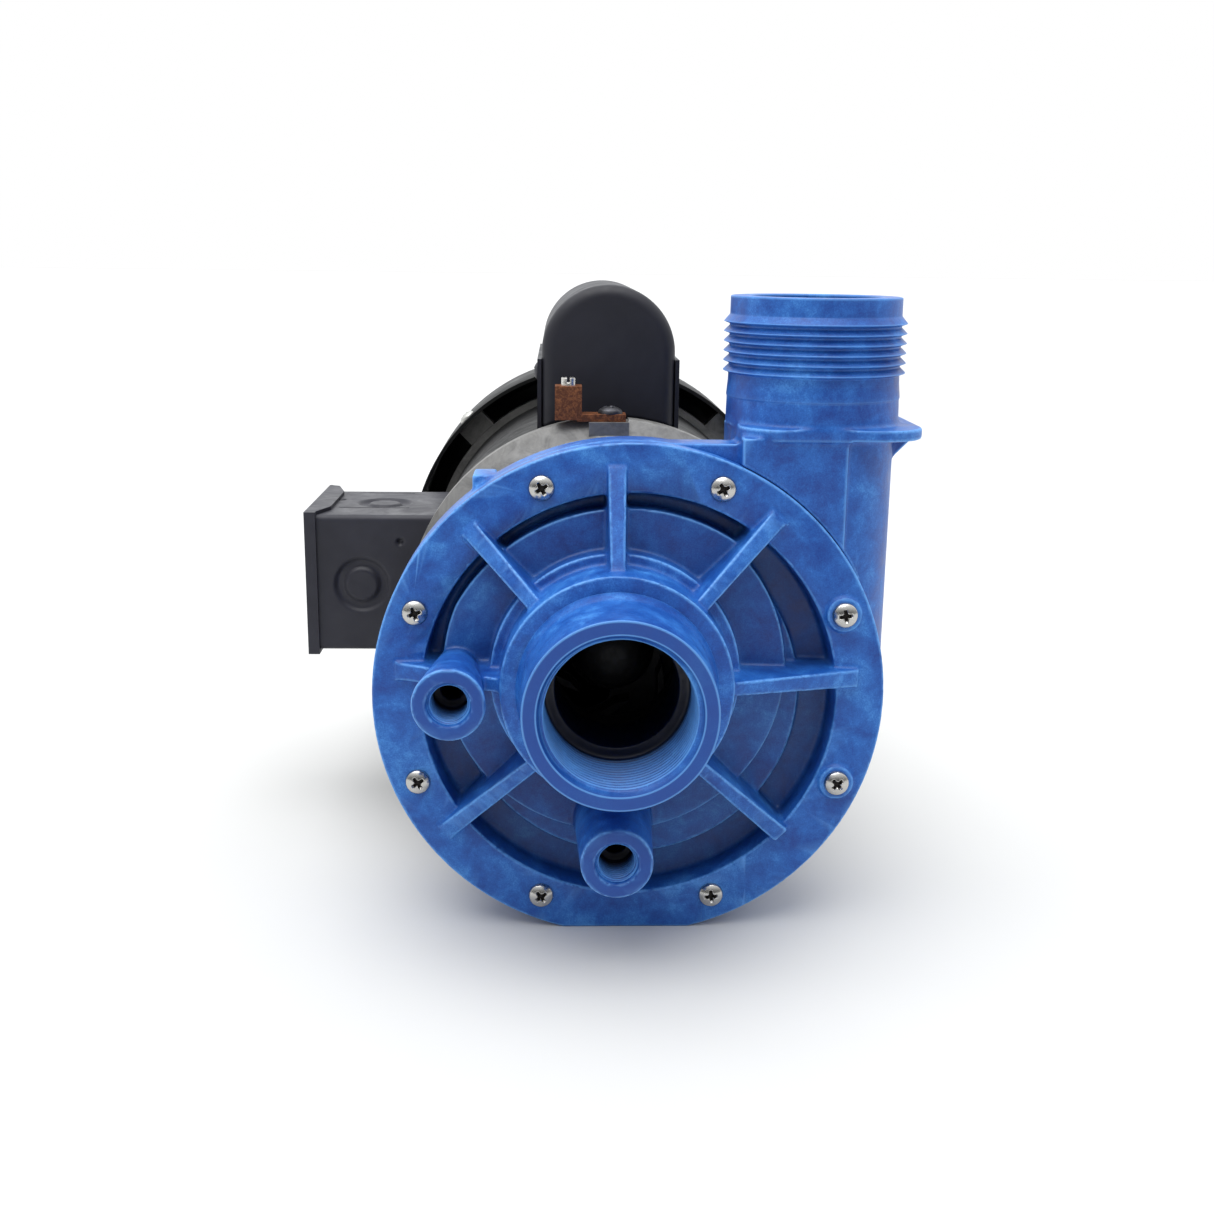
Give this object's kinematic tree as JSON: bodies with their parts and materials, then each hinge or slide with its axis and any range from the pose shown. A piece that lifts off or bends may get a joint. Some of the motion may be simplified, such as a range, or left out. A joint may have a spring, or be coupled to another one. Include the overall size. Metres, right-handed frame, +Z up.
{
  "type": "pool pump",
  "caption": "Close-coupled pool and spa pump: round plastic wet end with threaded suction nose and upright threaded discharge, fan-cooled motor with capacitor cover, conduit box and foot.",
  "frame": {"origin": "centre of the foot's four-slot pattern, on the floor plane", "axes": "+Z up along the discharge neck, -Y along the suction nose, +X towards the discharge neck, -X towards the conduit box; the shaft runs along Y at z = 0.091"},
  "size_m": [0.2182, 0.2968, 0.2123],
  "materials": {
    "wet_end_plastic": "moulded, mottled satin",
    "steel_box_paint": "satin charcoal powder coat",
    "motor_paint": "satin black, dusty",
    "cast_aluminium": "as cast, faces machined",
    "stainless_steel": "polished heads",
    "dark_steel": "black oxide",
    "copper_alloy": "tarnished copper brown",
    "brass": "bright",
    "rubber": "matt",
    "impeller_plastic": "moulded",
    "carbon": "lapped",
    "ceramic": "lapped ceramic",
    "lamination_steel": "stacked sheet edges",
    "winding_copper": "enamelled and varnished",
    "ground_steel": "ground",
    "phenolic": "moulded",
    "black_plastic": "moulded",
    "green_screw": "green dyed zinc"
  },
  "bodies": {
    "pump_body": {"face_plate": "wet_end_plastic", "volute_casing": "wet_end_plastic", "face_o_ring": "rubber", "face_screws": "stainless_steel", "wear_ring": "stainless_steel", "seal_seat": "ceramic", "seal_seat_cup": "rubber", "volute_bolts": "stainless_steel", "front_bracket": "cast_aluminium", "bonding_lug": "copper_alloy", "lug_set_screw": "stainless_steel", "lug_screw": "dark_steel", "front_bearing_outer": "ground_steel", "motor_shell": "motor_paint", "stator_core": "lamination_steel", "stator_windings": "winding_copper", "rear_bracket": "cast_aluminium", "rear_bearing_outer": "ground_steel", "wave_washer": "ground_steel", "switch_board": "phenolic", "fan_cover": "motor_paint", "fan_cover_screws": "stainless_steel", "through_bolts": "dark_steel", "capacitor_saddle": "steel_box_paint", "capacitor_cover": "steel_box_paint", "capacitor_cover_screws": "dark_steel", "start_capacitor": "black_plastic", "capacitor_terminals": "brass", "conduit_box": "steel_box_paint", "conduit_lid": "steel_box_paint", "conduit_lid_screws": "stainless_steel", "lead_grommet": "rubber", "terminal_board": "phenolic", "terminal_studs": "brass", "ground_screw": "green_screw", "motor_base": "motor_paint"},
    "rotor": {"motor_shaft": "ground_steel", "impeller": "impeller_plastic", "impeller_shroud": "impeller_plastic", "impeller_insert": "brass", "seal_face_ring": "carbon", "seal_bellows": "rubber", "seal_spring": "stainless_steel", "shaft_slinger": "rubber", "front_bearing_inner": "ground_steel", "front_bearing_balls": "ground_steel", "rotor_core": "lamination_steel", "rotor_cage": "cast_aluminium", "rear_bearing_inner": "ground_steel", "rear_bearing_balls": "ground_steel", "governor_base": "ground_steel", "governor_pins": "ground_steel", "cooling_fan": "black_plastic", "fan_clip": "ground_steel"},
    "governor_slider": {"governor_collar": "phenolic"},
    "weight_upper": {"governor_weight_upper": "ground_steel"},
    "weight_lower": {"governor_weight_lower": "ground_steel"}
  },
  "joints": [
    {"name": "rotor_spin", "type": "hinge", "parent": "pump_body", "child": "rotor", "pos_m": [0, -0.015, 0.091], "axis": [0, 1, 0], "continuous": true},
    {"name": "governor_slide", "type": "slide", "parent": "rotor", "child": "governor_slider", "axis": [0, -1, 0], "range_m": [0, 0.003], "stiffness_N_per_m": 2000},
    {"name": "weight_upper_swing", "type": "hinge", "parent": "rotor", "child": "weight_upper", "pos_m": [0, 0.045, 0.116], "axis": [1, 0, 0], "range_deg": [0, 12.01]},
    {"name": "weight_lower_swing", "type": "hinge", "parent": "rotor", "child": "weight_lower", "pos_m": [0, 0.045, 0.066], "axis": [-1, 0, 0], "range_deg": [0, 12.01]}
  ],
  "couplings": [
    {"joint": "weight_upper_swing", "follows": "governor_slide", "rad_per_m": 69.8},
    {"joint": "weight_lower_swing", "follows": "governor_slide", "rad_per_m": 69.8}
  ]
}
